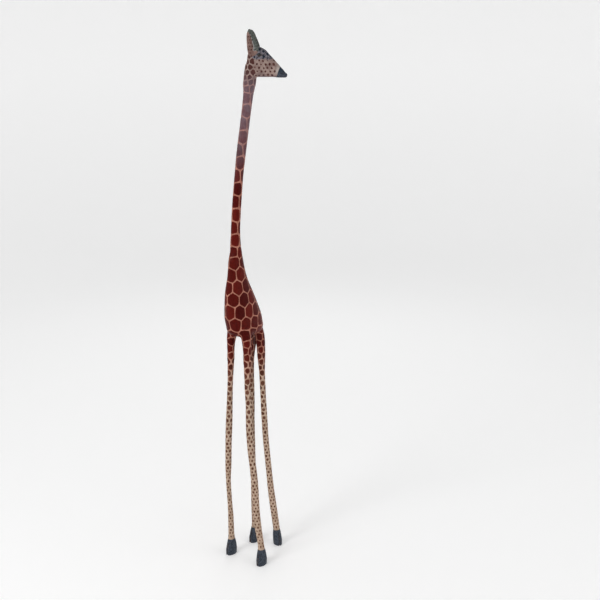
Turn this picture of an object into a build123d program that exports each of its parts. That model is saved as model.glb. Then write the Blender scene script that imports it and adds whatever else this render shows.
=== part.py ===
from build123d import *
import os
from math import cos, radians, sin, tau

# Tall carved and painted giraffe, standing, with its head turned to its left.
#
# Millimetres. +Z is up, the giraffe faces -Y and its left side is +X. The carving is a set of
# separate wooden pieces: trunk, neck, head, ears, horns, tail and legs. Loose round dowels hold
# the neck, the head and the legs. The ears, the horns and the tail end in pegs of their own.

# --- Joints and overall heights -----------------------------------------------------------
LEG_JOINT = 600.0        # height where each leg is doweled to its stub on the trunk
NECK_JOINT = 930.0       # height where the neck is doweled to the trunk
HEAD_JOINT = 1345.0      # height where the head is doweled to the neck
CORONET = 58.0           # height where a leg begins to flare into its hoof
HEAD_TURN = 29.0         # degrees from +X towards +Y that the muzzle points

DOWEL_RADIUS = {"neck": 5.0, "head": 4.5, "leg": 3.5}
DOWEL_LENGTH = {"neck": 80.0, "head": 56.0, "leg": 60.0}
GLUE_GAP = 0.05          # room for glue all round a dowel or peg
PEG_RADIUS = 2.5         # peg under an ear or a horn
PEG_LENGTH = 9.0
PEG_OVERLAP = 7.0        # how far a peg runs up inside its own ear or horn
TAIL_PEG_RADIUS = 3.0
TAIL_PEG_LENGTH = 14.0

SECTION_POINTS = 16      # points on each carved outline
SECTION_STEP = 26.0      # about how far apart the outlines of a tall piece are
FINE_STEP = 9.0          # the same for a small piece

# --- Outlines: height, centre x, centre y, half width, half length --------------------------
TRUNK = (
    (700, -12.5, -25, 38, 67.5), (722, -12.5, -30.5, 38, 66.5), (746, -12.5, -37, 37, 62.5),
    (770, -12.5, -43, 34.5, 56.5), (794, -12.5, -49, 31, 50.5), (818, -12.5, -54.5, 26.4, 43.5),
    (840, -12.5, -57.5, 22.2, 35.5), (863, -12.5, -60, 19.4, 29.5), (886, -12.5, -62, 17.2, 25.5),
    (908, -12.5, -62.5, 15.3, 21.2), (NECK_JOINT, -12.5, -62.5, 13.6, 16.6),
)
BELLY = (
    (676, -12.5, -12, 18, 38), (684, -12.5, -18, 31, 56), (692, -12.5, -22, 36, 64),
    (700, -12.5, -25, 38, 67.5),
)
NECK = (
    (NECK_JOINT, -12.5, -62.5, 13.6, 16.6), (960, -12.3, -62.5, 12.6, 14.6),
    (995, -12, -60.5, 11.8, 13.4), (1060, -9.8, -56, 11.8, 13.2), (1124, -6.8, -50, 11.4, 13),
    (1190, -2.6, -42.5, 12.2, 13.6), (1250, 1.6, -34, 12.2, 13.6), (1311, 5.6, -25, 12.4, 13.8),
    (HEAD_JOINT, 8, -20.5, 14.2, 15.4),
)
LEGS = {
    "front_right": (
        (LEG_JOINT, -41.8, -55, 9, 10), (530, -45, -56, 7.4, 8.4), (470, -47.7, -57, 8.2, 9.2),
        (410, -50.3, -58, 9.4, 10.4), (350, -52.9, -59, 8.8, 10), (290, -54.7, -59, 8.6, 9.8),
        (230, -57.5, -57, 6.6, 8), (170, -55, -56, 6.2, 7.8), (115, -53, -55, 7.6, 9),
        (CORONET, -53, -54, 8.4, 9.8)),
    "front_left": (
        (LEG_JOINT, 16, -55, 10, 11.5), (540, 15.5, -56, 7.6, 8.8), (480, 19.6, -57, 8, 9.2),
        (420, 21, -58, 8.8, 10), (360, 25, -58.5, 9, 10.4), (300, 32.5, -58.5, 9.2, 10.6),
        (240, 38.5, -58, 9.4, 10.8), (180, 40.6, -57, 9.6, 11), (130, 44.8, -57, 9.8, 11),
        (90, 51.5, -57, 9, 10.2), (CORONET, 57, -57, 8.6, 10)),
    "rear_right": (
        (LEG_JOINT, -35, 32, 9, 11), (540, -35.8, 34, 7.2, 9), (480, -37, 37, 7, 9),
        (420, -40.5, 40, 7.2, 9.2), (360, -42.5, 43.5, 7.2, 9.2), (300, -43.5, 46, 7.2, 9.2),
        (240, -43, 46.5, 7.2, 9.2), (180, -41.2, 46, 7.8, 9.8), (120, -39.5, 45, 8.6, 10.4),
        (CORONET, -37.5, 44, 8.8, 10.2)),
    "rear_left": (
        (LEG_JOINT, 1.6, 32, 10.6, 13), (540, 2.8, 34, 7.6, 9.6), (480, 2.6, 38, 7.4, 9.4),
        (420, 2, 43, 8, 10), (360, 1.8, 48, 8, 10), (300, 3.7, 53, 8, 10),
        (240, 7.2, 57, 8, 10), (180, 11.6, 60, 8.8, 10.8), (120, 19, 62, 9.6, 11.4),
        (CORONET, 26.5, 65, 9.8, 11)),
}
# Sole centre in plan and the way the toe points, in degrees from -Y towards +X.
FEET = {
    "front_right": (-51, -54, -6),
    "front_left": (61, -57, -2),
    "rear_right": (-36.5, 43, -8),
    "rear_left": (29, 67.5, 52),
}
# Hoof outlines: height, share of the way from leg to sole, toe-ward shift, half width, length.
HOOF = ((43, 0.4, 0.4, 9.8, 11.8), (29, 0.62, 1.2, 12.4, 15.8), (14, 0.9, 2.6, 13.6, 19.4),
        (0, 1, 3, 12.6, 18.8))
LEG_STEP = 15.0          # about how far apart the outlines of a leg are

# Skull outlines: distance ahead of the neck, half width, lowest and highest point.
SKULL = (
    (-9, 7, 1392, 1416), (-4, 14, 1384, 1433), (3, 17.5, 1381, 1448), (13, 20, 1380, 1456.5),
    (26, 20.5, 1380, 1457),
    (42, 18, 1380, 1450), (62, 13.8, 1380, 1430.5), (80, 11.4, 1378.6, 1411),
    (93, 10.2, 1378.4, 1396), (101, 7.4, 1381, 1388),
)
# Nape outlines inside the head piece: height, distance ahead of the neck, half sizes.
NAPE = ((1368, 2.5, 17, 17.6), (1390, 5, 17.4, 17.6), (1414, 8, 16, 15.6))
# Shoulder and haunch above a leg joint: rise, shift inwards and along, growth in half sizes.
STUB = {
    "front": ((26, 0.3, 0.5, 0.8, 1), (52, 1, 1, 2.2, 3), (78, 3, 2.5, 3.8, 6.5),
              (110, 7, 5, 2.6, 7), (150, 12, 7, -2, 2)),
    "rear": ((26, 0.3, 0.5, 0.8, 1), (52, 1.5, 2, 2, 3), (76, 4, 5.5, 3, 4.5),
             (98, 8, 13, 1.5, 2), (118, 12, 22, -3, -4)),
}

# Ears and horns in the head's own directions: ahead, to the side, height.
EAR_ROOT = (9, 15.5, 1443)
EAR_LEAN = 6.0           # degrees outwards
# Ear outlines: height above the root, distance ahead, distance outwards, half sizes.
EAR_BLADE = ((-20, 3, 0, 5, 3.4), (-11, 4, 0, 10.4, 5), (-2, 5.4, 0, 13.6, 5.8), (8, 6, 0, 15, 6.2),
             (16, 5.5, 0, 14.6, 6.4), (31, 3.5, 0, 12, 6.4), (41, 2.2, 0, 9.8, 5.8), (50, 1.6, 0, 7, 4.6),
             (55, 1.1, 0, 4.6, 3.4), (57.5, 0.8, 0, 2.4, 2))
EAR_SCOOP = ((5, 11, 7, 4, 3), (15, 12, 7.4, 9.4, 6.2), (31, 9.4, 7, 7.6, 6), (41, 7, 6.2, 5.8, 4.8),
             (51, 4, 5, 2.4, 2.2))
HORN_ROOT = (18, 4.8, 1451)
HORN_LENGTH = 24.0
HORN_LEAN = 4.0

TAIL_ROOT = (-15.5, 41, 700)
TAIL = ((708, -15.5, 42, 3), (697, -17, 48.5, 4.8), (672, -25, 52.5, 4.8), (636, -34, 53, 4.2),
        (590, -41, 51.5, 3.8), (540, -45, 50.5, 3.8), (490, -47, 50.5, 4.6))
TUFT = ((500, -47, 50.5, 4.6, 4.8), (478, -48, 51, 7, 7.6), (442, -49.5, 52.5, 8.6, 9),
        (404, -50.5, 54, 7.2, 8), (374, -51, 55, 3, 3.4))


# --- Carving helpers ----------------------------------------------------------------------
def slope(table, i, column):
    """How fast a column changes at row i, and level where it turns, so nothing overshoots."""
    steps = [(b[column] - a[column]) / (b[0] - a[0]) for a, b in zip(table, table[1:])]
    before, after = steps[max(i - 1, 0)], steps[min(i, len(steps) - 1)]
    return 0.0 if before * after <= 0 else 2 * before * after / (before + after)


def between(table, place):
    """The row of a sorted table at a place, on smooth curves through its rows."""
    i = max(k for k in range(len(table) - 1) if table[k][0] <= place or k == 0)
    low, high = table[i], table[i + 1]
    span = high[0] - low[0]
    t = (place - low[0]) / span
    row = []
    for column in range(1, len(low)):
        row.append(
            (2 * t**3 - 3 * t**2 + 1) * low[column]
            + (t**3 - 2 * t**2 + t) * span * slope(table, i, column)
            + (3 * t**2 - 2 * t**3) * high[column]
            + (t**3 - t**2) * span * slope(table, i + 1, column)
        )
    return row


def even_rows(table, step):
    """Rows of a table at even spacing, so that a skin through them stays smooth."""
    table = sorted(table)
    first, last = table[0][0], table[-1][0]
    count = max(3, round((last - first) / step))
    places = [first + (last - first) * i / count for i in range(count + 1)]
    return [(place, *between(table, place)) for place in places]


def rounded(half_x, half_y, square=2.0, turn=0.0):
    """Points round an outline, at even angles. square is 2 for an ellipse, more for a boxier one."""
    points = []
    for i in range(SECTION_POINTS):
        angle = tau * i / SECTION_POINTS
        across = abs(cos(angle - radians(turn))) / half_x
        along = abs(sin(angle - radians(turn))) / half_y
        reach = (across**square + along**square) ** (-1 / square)
        points.append((reach * cos(angle), reach * sin(angle)))
    return points


def closed(points):
    return Wire([Edge.make_spline([Vector(*point) for point in points], periodic=True)])


def level(z, x, y, half_x, half_y, square=2.0, turn=0.0):
    """A horizontal outline round its middle."""
    return closed([(x + a, y + b, z) for a, b in rounded(half_x, half_y, square, turn)])


def carve(wires, ruled=False):
    """A solid with flat ends and a skin through the outlines, smooth or in straight bands."""
    return Solid.make_loft(wires, ruled=ruled)


def upright(table, step=SECTION_STEP, square=2.0):
    """A piece carved through horizontal outlines."""
    return carve([level(*row, square=square) for row in even_rows(table, step)])


def rod(base, radius, length):
    """An upright round rod that starts at base."""
    return Pos(*base) * Cylinder(radius, length, align=(Align.CENTER, Align.CENTER, Align.MIN))


# --- Dowels and pegs ----------------------------------------------------------------------
def joint_centre(name):
    """Middle of the glue face of a leg, the neck or the head."""
    tops = {"neck": NECK[0], "head": NECK[-1]}
    z, x, y = (tops[name] if name in tops else LEGS[name][0])[:3]
    return x, y, z


def dowel(name, gap=0.0):
    """The loose dowel of a joint, or with a gap the hole that it is glued into."""
    kind = "leg" if name in LEGS else name
    x, y, z = joint_centre(name)
    length = DOWEL_LENGTH[kind] + 2 * gap
    return rod((x, y, z - length / 2), DOWEL_RADIUS[kind] + gap, length)


def peg(gap=0.0):
    """A peg that hangs under the root of its own piece."""
    return rod((0, 0, -PEG_LENGTH - gap), PEG_RADIUS + gap, PEG_LENGTH + gap + PEG_OVERLAP)


def tail_peg(gap=0.0):
    """The tail's peg, which lies level in the rump."""
    x, y, z = TAIL_ROOT
    length = TAIL_PEG_LENGTH + gap
    place = Pos(x, y - length, z) * Rot(-90, 0, 0)
    return place * rod((0, 0, 0), TAIL_PEG_RADIUS + gap, length + 6)


# --- Body ---------------------------------------------------------------------------------
def make_leg(name):
    """One leg with its hoof, flat on the floor."""
    foot_x, foot_y, toe = FEET[name]
    rows = [(*row, 0.0) for row in LEGS[name]]
    leg_x, leg_y = rows[-1][1:3]
    for z, share, shift, half_x, half_y in HOOF:
        x = leg_x + share * (foot_x - leg_x) + shift * sin(radians(toe))
        y = leg_y + share * (foot_y - leg_y) - shift * cos(radians(toe))
        rows.append((z, x, y, half_x, half_y, toe * share))
    wires = [level(*row[:-1], turn=row[-1]) for row in even_rows(rows, LEG_STEP)]
    return carve(wires, ruled=True) - dowel(name, GLUE_GAP)


def make_stub(name):
    """A shoulder or haunch, from inside the trunk down to the leg joint."""
    z, x, y, half_x, half_y = LEGS[name][0]
    across = -1 if x > TRUNK[0][1] else 1
    along = 1 if y < 0 else -1
    rows = [(z, x, y, half_x, half_y)]
    for rise, inward, shift, more_x, more_y in STUB[name.split("_")[0]]:
        place = (x + inward * across, y + shift * along)
        rows.append((z + rise, *place, half_x + more_x, half_y + more_y))
    return upright(rows)


def make_trunk():
    body = upright(TRUNK, square=2.2) + upright(BELLY, FINE_STEP, square=2.2)
    for name in LEGS:
        body = body + make_stub(name)
    for name in (*LEGS, "neck"):
        body = body - dowel(name, GLUE_GAP)
    return body - tail_peg(GLUE_GAP)


def make_neck():
    return upright(NECK) - dowel("neck", GLUE_GAP) - dowel("head", GLUE_GAP)


def make_tail(trunk, leg):
    """A hanging tail whose tuft lies against the back of the rear right leg."""
    hair = upright([(*row, row[-1]) for row in TAIL]) + upright(TUFT, FINE_STEP)
    return hair - trunk - leg + tail_peg()


# --- Head ---------------------------------------------------------------------------------
def head_place(ahead, side, z):
    """A place in the head's own directions: X to the muzzle, Y to its left."""
    x, y, _ = joint_centre("head")
    return Pos(x, y, 0) * Rot(0, 0, HEAD_TURN) * Pos(ahead, side, z)


def ear_place(side):
    ahead, out, z = EAR_ROOT
    return head_place(ahead, side * out, z) * Rot(-side * EAR_LEAN, -4, 0)


def horn_place(side):
    ahead, out, z = HORN_ROOT
    return head_place(ahead, side * out, z) * Rot(-side * HORN_LEAN, 4, 0)


def make_head_blank():
    """The head before any hole is drilled."""
    rows = []
    for ahead, half_x, low, high in even_rows(SKULL, FINE_STEP):
        middle, half_z = (low + high) / 2, (high - low) / 2
        flat = rounded(half_x, half_z, square=2.2)
        rows.append(closed([(ahead, a, middle + b) for a, b in flat]))
    skull = head_place(0, 0, 0) * carve(rows)

    z, x, y, half_x, half_y = NECK[-1]
    turn = radians(HEAD_TURN)
    nape = [(z, x, y, half_x, half_y)]
    for height, ahead, across, along in NAPE:
        nape.append((height, x + ahead * cos(turn), y + ahead * sin(turn), across, along))
    return skull + upright(nape, FINE_STEP)


def make_head(blank):
    head = blank
    for side in (-1, 1):
        head = head - ear_place(side) * peg(GLUE_GAP) - horn_place(side) * peg(GLUE_GAP)
    return head - dowel("head", GLUE_GAP)


def make_ear(side, blank):
    """An upright blade, widest at its root, with a scoop in its outer front and a peg."""
    blade = upright(EAR_BLADE, FINE_STEP)
    scoop = upright([(z, x, side * y, *sizes) for z, x, y, *sizes in EAR_SCOOP], FINE_STEP)
    ear = ear_place(side) * (blade - scoop)
    return ear - blank + ear_place(side) * peg()


def make_horn(side, blank, ear):
    cone = upright(((-5, 0, 0, 4.6, 4), (6, 0, 0, 4.4, 4), (15, 0, 0, 3.8, 3.6),
                    (HORN_LENGTH, 0, 0, 2.6, 2.5)), FINE_STEP)
    return horn_place(side) * cone - blank - ear + horn_place(side) * peg()


# --- Everything ---------------------------------------------------------------------------
def make_pieces():
    blank = make_head_blank()
    pieces = {"trunk": make_trunk(), "neck": make_neck(), "head": make_head(blank)}
    for side, name in ((-1, "right"), (1, "left")):
        ear = make_ear(side, blank)
        pieces[f"ear_{name}"] = ear
        pieces[f"horn_{name}"] = make_horn(side, blank, ear)
    for name in ("neck", "head"):
        pieces[f"{name}_dowel"] = dowel(name)
    for name in LEGS:
        pieces[f"leg_{name}"] = make_leg(name)
        pieces[f"leg_{name}_dowel"] = dowel(name)
    pieces["tail"] = make_tail(pieces["trunk"], pieces["leg_rear_right"])
    return {name: Compound(piece.solids()) for name, piece in pieces.items()}


pieces = make_pieces()
boxes = [piece.bounding_box() for piece in pieces.values()]
middle_x = (min(box.min.X for box in boxes) + max(box.max.X for box in boxes)) / 2
middle_y = (min(box.min.Y for box in boxes) + max(box.max.Y for box in boxes)) / 2
to_origin = Pos(-middle_x, -middle_y, 0)
os.makedirs("parts", exist_ok=True)
for name, piece in pieces.items():
    export_step(to_origin * piece, f"parts/{name}.step")
print("origin moved by", to_origin.position)
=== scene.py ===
from math import atan2, cos, pi, radians, sin, tau

import bmesh
import bpy
import numpy as np
from mathutils import Matrix, Vector, noise
from mathutils.bvhtree import BVHTree


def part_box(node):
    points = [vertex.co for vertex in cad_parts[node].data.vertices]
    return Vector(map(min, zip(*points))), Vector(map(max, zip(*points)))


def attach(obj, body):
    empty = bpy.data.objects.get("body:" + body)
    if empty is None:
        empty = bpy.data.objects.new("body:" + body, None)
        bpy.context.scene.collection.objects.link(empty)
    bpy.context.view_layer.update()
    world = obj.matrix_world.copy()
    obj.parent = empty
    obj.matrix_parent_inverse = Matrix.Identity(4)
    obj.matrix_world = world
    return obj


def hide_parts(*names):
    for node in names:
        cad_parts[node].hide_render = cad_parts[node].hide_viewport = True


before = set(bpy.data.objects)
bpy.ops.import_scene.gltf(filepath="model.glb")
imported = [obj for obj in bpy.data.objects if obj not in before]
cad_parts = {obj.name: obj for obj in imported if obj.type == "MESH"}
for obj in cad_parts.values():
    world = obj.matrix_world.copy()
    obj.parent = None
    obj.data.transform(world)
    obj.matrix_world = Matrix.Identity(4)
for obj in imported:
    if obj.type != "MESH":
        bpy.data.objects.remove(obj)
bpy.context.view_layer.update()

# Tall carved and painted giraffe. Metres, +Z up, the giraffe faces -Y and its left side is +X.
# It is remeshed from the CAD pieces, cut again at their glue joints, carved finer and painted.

SCENE = bpy.context.scene
SCENE.view_settings.view_transform = "Standard"
MM = 0.001
RANDOM = np.random.default_rng(7)

# --- Measures ---------------------------------------------------------------------------------
BODY_VOXEL = 1.2 * MM
HEAD_VOXEL = 0.8 * MM
SMALL_VOXEL = 0.6 * MM
SNAP = 0.05 * MM             # how near a cut a point is pulled onto it
GLUE_GAP = 0.05 * MM
BORE_SIDES = 40
PLUG_HALF = 9 * MM           # half height of the lump that fills a joint's bores
PLUG_SPREAD = 1.8            # and its radius over the dowel's
SHARP_ANGLE = radians(50)
LEGS = ("front_right", "front_left", "rear_right", "rear_left")
# The way each toe points, in degrees from -Y towards +X.
TOES = {"front_right": -6, "front_left": -2, "rear_right": -8, "rear_left": 52}
CORONET = 47 * MM            # height where the hooves begin
HEAD_TURN = radians(29)      # from +X towards +Y

# Mane and tail: half the mane's width in radians round the neck, and heights in mm.
MANE_HALF = 0.26
MANE_TOP = 1330
MANE_FOOT = 925
TUFT_TOP = 497

# The side that is seen first: the way across it and the way out of it.
SEEN = radians(33)
ACROSS = np.array([cos(SEEN), sin(SEEN), 0])
OUT = np.array([sin(SEEN), -cos(SEEN), 0])

# Rows of patches on the trunk and neck: height, and how far across the seen side one of them
# sits from the middle, both in mm. Up the neck, single patches and pairs take turns.
TRUNK_ROWS = ((688, 1), (721, -17), (756, -3), (791, -14), (825, 2), (859, 13), (892, -2))
NECK_ROWS = tuple((918 + 34.3 * k, 0 if k % 2 else 13) for k in range(13))
PATCH_PITCH = 32 * MM        # between patches round the trunk
NECK_PITCH = 26 * MM
PATCH_REACH = 19 * MM        # no patch reaches further from its middle
NECK_REACH = 15.6 * MM
PATCH_STRETCH = 0.82         # below 1 makes patches tall
LINE_HALF = 1.15 * MM        # half the pale line between two patches
LINE_ROUNDING = 1.5 * MM
BELLY_ACROSS = (-15, 15)     # rows of patches under the belly, in mm from its middle
BELLY_ALONG = range(-60, 60, 29)
BELLY_REACH = 15 * MM
OUTLINE_STEPS = 72
NEARBY = 50 * MM             # patches further above or below a piece don't touch it
BATCH = 8000                 # points that are painted at a time
# Spots down the legs: height, spacing and radius in mm.
LEG_SPOTS = ((52, 10, 3.6), (200, 10.5, 4.0), (330, 11.5, 4.5), (420, 13, 5.3), (500, 15, 6.6),
             (560, 17, 8.4), (610, 19, 10.5), (664, 23, 15))

# Eye, horn and ear places in the head's own directions: ahead, to the side, height (mm).
EYE = (30.5, 19, 1436)
EYE_RADIUS = 4.7
EYE_INSIDE = 8               # no eye is nearer the middle of the head (mm)
EAR_ROOT = (9, 15.5, 1443)
EAR_LEAN = radians(6)        # outwards
EAR_RAKE = radians(4)        # backwards
HORN_ROOT = (18, 4.8, 1451)
HORN_DARK = 1463             # height where the horns turn dark (mm)
# The scoop in an ear: height above the root, distance ahead and outwards, half sizes (mm).
EAR_SCOOP = ((5, 11, 7, 4, 3), (15, 12, 7.4, 9.4, 6.2), (31, 9.4, 7, 7.6, 6), (41, 7, 6.2, 5.8, 4.8),
             (51, 4, 5, 2.4, 2.2))
NOSE_START = 74              # how far ahead the nose's dark paint starts, at the jaw (mm)
NOSE_SLOPE = 0.38            # and how much further ahead for each mm above it
JAW = 1381                   # height of the jaw's edge (mm)
# Broad carved shapes on the head, on both sides: rise, middle and radii (mm).
HEAD_SHAPES = (
    (1.8, (30, 17, 1445), (13, 9, 4)),       # brow over the eye
    (-1.6, (44, 17, 1428), (12, 9, 9)),      # hollow before the eye
    (-1.1, (24, 20, 1421), (13, 9, 7)),      # hollow under the eye
    (1.2, (26, 20, 1397), (16, 12, 11)),     # cheek
    (-1.3, (56, 13, 1392), (14, 9, 8)),      # hollow before the cheek
    (1.3, (88, 9, 1396), (9, 8, 6)),         # nostril wing
    (1.0, (46, 0, 1450), (12, 6, 8)),        # ridge down the forehead
    (0.8, (97, 0, 1386), (6, 12, 4)),        # lower lip
)
NOSTRIL = (-1.9, (92.5, 8, 1392), (3, 6, 1.7))

# Spots on the head: ahead and height (mm).
CHEEK_ROWS = range(1385, 1428, 9)
BROW_SPOTS = ((41, 1445), (51, 1438), (60, 1431), (42, 1431), (51, 1426), (31, 1450), (18, 1430),
              (68, 1422))
# Rows of patches up the nape: height, how many would go round, and reach (mm).
NAPE_ROWS = ((1349, 6, 12.5), (1365, 7, 10), (1379, 8, 9), (1393, 8, 9), (1406, 8, 9), (1419, 8, 9),
             (1432, 8, 8))
EAR_SPOT_ROWS = range(-10, 50, 8)    # heights above the ear's root (mm)
EAR_SPOT = 3.1 * MM

# Bends (mm) between which paint is worn off edges, and between which the colour is darkened in hollows.
WORN_BENDS = (0.06, 0.2)
HOLLOW_DARKENING_BENDS = (-0.02, -0.16)

# Studio. A lamp has a place, the height it aims at, a size and a power in watts.
LAMPS = {
    "key": ((-0.6, -2.6, 2.6), 0.9, 1.4, 36),
    "fill": ((2.6, 0.2, 1.8), 0.8, 1.8, 9),
    "back": ((-1.5, 2.4, 2.4), 1.0, 1.6, 12),
}
WORLD_STRENGTH = 0.38
FLOOR_COLOUR = (0.86, 0.86, 0.86, 1)
FLOOR_GLOW = 0.25
FLOOR_RADII = (1, 2.5, 3.6)
FLOOR_BEND = 1.4             # radius of the turn from floor to wall
FLOOR_BEND_STEPS = 12
FLOOR_SIDES = 96
WALL_TOP = 4.5
FLOOR_DROP = 0.2 * MM
# Camera: distance from the feet, shift to the right, height, angle downwards and lens in mm.
DISTANCE, TO_RIGHT, EYE_LEVEL = 2.494, 0.1308, 1.40
DIP = radians(14.1)
LENS = 55.14


# --- Small helpers ----------------------------------------------------------------------------
def ease(values, low, high):
    """0 up to low and 1 from high, with a smooth turn between them. Low may be the larger."""
    share = np.clip((values - low) / (high - low), 0, 1)
    return share * share * (3 - 2 * share)


def dowel_of(name):
    """Middle, radius and half length of a joint's dowel."""
    low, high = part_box(name)
    return (low + high) / 2, (high.x - low.x) / 2, (high.z - low.z) / 2


def cad_points(name):
    return np.array([vertex.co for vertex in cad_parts[name].data.vertices], float)


def middle_at(points, height, reach=4 * MM):
    """Middle in plan of the points near a height."""
    near = points[abs(points[:, 2] - height) < reach][:, :2]
    return (near.min(0) + near.max(0)) / 2


JOINTS = {name: dowel_of(f"leg_{name}_dowel") for name in LEGS}
JOINTS["neck"] = dowel_of("neck_dowel")
JOINTS["head"] = dowel_of("head_dowel")
LEG_TOP = JOINTS[LEGS[0]][0].z
NECK_FOOT = JOINTS["neck"][0].z
HEAD_FOOT = JOINTS["head"][0].z
HEAD_AXIS = np.array([*JOINTS["head"][0].xy, 0.0])
AHEAD = np.array([cos(HEAD_TURN), sin(HEAD_TURN), 0])
HEAD_LEFT = np.array([-sin(HEAD_TURN), cos(HEAD_TURN), 0])


def in_head(points):
    """Points in the head's own directions, in mm: ahead, to its left, height."""
    away = points - HEAD_AXIS
    return np.column_stack([away @ AHEAD, away @ HEAD_LEFT, points[:, 2]]) / MM


def from_head(ahead, side, height):
    """A place in the shared frame from the head's own directions in mm."""
    return HEAD_AXIS + (ahead * AHEAD + side * HEAD_LEFT) * MM + np.array([0, 0, height * MM])


# --- Clay: a mesh as arrays -------------------------------------------------------------------
class Clay:
    """A mesh held as arrays, so that it can be smoothed and carved quickly."""

    def __init__(self, mesh):
        self.mesh = mesh
        self.points = self.read(mesh.vertices, "co", 3, np.float32).astype(float)
        self.edges = self.read(mesh.edges, "vertices", 2, np.int32)
        self.links = np.bincount(self.edges.ravel(), minlength=len(self.points))[:, None]

    @staticmethod
    def read(items, name, width, kind):
        values = np.empty(len(items) * width, kind)
        items.foreach_get(name, values)
        return values.reshape(-1, width)

    def write(self):
        self.mesh.vertices.foreach_set("co", self.points.astype(np.float32).ravel())
        self.mesh.update()

    def normals(self):
        self.write()
        return self.read(self.mesh.vertex_normals, "vector", 3, np.float32).astype(float)

    def pull(self):
        """From each point to the mean of its neighbours."""
        first, second = self.edges.T
        total = np.empty_like(self.points)
        count = len(self.points)
        for k in range(3):
            values = self.points[:, k]
            total[:, k] = np.bincount(first, values[second], count)
            total[:, k] += np.bincount(second, values[first], count)
        return total / np.maximum(self.links, 1) - self.points

    def even_out(self, times):
        """Smooths the surface and hardly shrinks it."""
        for _ in range(times):
            for amount in (0.6, -0.62):
                self.points += amount * self.pull()

    def soften(self, times, share):
        """Plain smoothing, as strong as share at each point."""
        for _ in range(times):
            self.points += 0.5 * share[:, None] * self.pull()

    def push(self, amount):
        """Moves each point out along its normal by an amount in mm."""
        self.points += self.normals() * (amount * MM)[:, None]

    def bends(self):
        """How sharply the surface bulges at each point, in mm, negative in a hollow."""
        return -(self.pull() * self.normals()).sum(1) / MM


def ripple(points, size, seed):
    """Smooth noise from -1 to 1, with humps about size apart."""
    shift = Vector((seed, seed * 1.7, seed * 0.3))
    return np.array([noise.noise(Vector(point) / size + shift) for point in points])


# --- Remeshing --------------------------------------------------------------------------------
def remeshed(name, nodes, voxel, plugs=()):
    """One new mesh over several CAD nodes, with plugs across their joints, without inner shells."""
    built = bmesh.new()
    for node in nodes:
        built.from_mesh(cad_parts[node].data)
    for middle, size in plugs:
        place = Matrix.Translation(middle) @ Matrix.Diagonal((*size, 1))
        bmesh.ops.create_icosphere(built, subdivisions=3, radius=1, matrix=place)
    source = bpy.data.meshes.new(name)
    built.to_mesh(source)
    built.free()
    lump = bpy.data.objects.new(name, source)
    SCENE.collection.objects.link(lump)
    modifier = lump.modifiers.new("voxels", "REMESH")
    modifier.mode = "VOXEL"
    modifier.voxel_size = voxel
    modifier.adaptivity = 0
    evaluated = lump.evaluated_get(bpy.context.evaluated_depsgraph_get())
    mesh = bpy.data.meshes.new_from_object(evaluated)
    bpy.data.objects.remove(lump)
    return outer_shell(mesh)


def outer_shell(mesh):
    """The mesh without anything that isn't joined to its highest point."""
    built = bmesh.new()
    built.from_mesh(mesh)
    top = max(built.verts, key=lambda vertex: vertex.co.z)
    seen = {top}
    waiting = [top]
    while waiting:
        vertex = waiting.pop()
        for edge in vertex.link_edges:
            other = edge.other_vert(vertex)
            if other not in seen:
                seen.add(other)
                waiting.append(other)
    inner = [vertex for vertex in built.verts if vertex not in seen]
    bmesh.ops.delete(built, geom=inner, context="VERTS")
    built.to_mesh(mesh)
    built.free()
    return mesh


# --- Cutting at the glue joints ---------------------------------------------------------------
def cut(mesh, heights):
    """The mesh as a bmesh with an edge loop at each height."""
    built = bmesh.new()
    built.from_mesh(mesh)
    for height in heights:
        parts = [*built.verts, *built.edges, *built.faces]
        bmesh.ops.bisect_plane(
            built, geom=parts, dist=SNAP, plane_co=(0, 0, height), plane_no=(0, 0, 1)
        )
    for vertex in built.verts:
        for height in heights:
            if abs(vertex.co.z - height) <= SNAP:
                vertex.co.z = height
    built.verts.index_update()
    return built


def share_out(built, which):
    """Points and faces of each piece, by the name that which gives for a face's middle."""
    faces = {}
    for face in built.faces:
        name = which(face.calc_center_median())
        faces.setdefault(name, []).append([vertex.index for vertex in face.verts])
    places = np.array([vertex.co for vertex in built.verts], float)
    found = {}
    for name, rows in faces.items():
        used, flat = np.unique(np.concatenate(rows), return_inverse=True)
        ends = np.cumsum([len(row) for row in rows])[:-1]
        found[name] = (places[used].tolist(), [row.tolist() for row in np.split(flat, ends)])
    return found


def loop_order(points, chosen, middle):
    return sorted(chosen, key=lambda i: atan2(points[i][1] - middle.y, points[i][0] - middle.x))


def cap(points, faces, joint, up):
    """Closes a cut with a flat ring and the blind hole for its dowel. up says which way it faces."""
    middle, radius, half = joint
    radius += GLUE_GAP
    height = middle.z
    rim = [i for i, point in enumerate(points) if abs(point[2] - height) < 1e-7
           and (Vector(point[:2]) - middle.xy).length < 30 * MM and nearest_joint(point) == joint]
    rim = loop_order(points, rim, middle)
    depth = height - half - GLUE_GAP if up else height + half + GLUE_GAP
    mouth, floor = [], []
    for ring, z in ((mouth, height), (floor, depth)):
        for k in range(BORE_SIDES):
            angle = -pi + tau * (k + 0.5) / BORE_SIDES
            ring.append(len(points))
            points.append([middle.x + radius * cos(angle), middle.y + radius * sin(angle), z])
    made = ring_between(points, rim, mouth, middle)
    for k in range(BORE_SIDES):
        after = (k + 1) % BORE_SIDES
        made.append([mouth[k], mouth[after], floor[after], floor[k]])
    made.append(list(floor))
    faces.extend(made if up else [face[::-1] for face in made])


def nearest_joint(point):
    """The joint that a point on a cut belongs to."""
    return min(JOINTS.values(), key=lambda joint: (Vector(point) - joint[0]).length)


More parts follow.
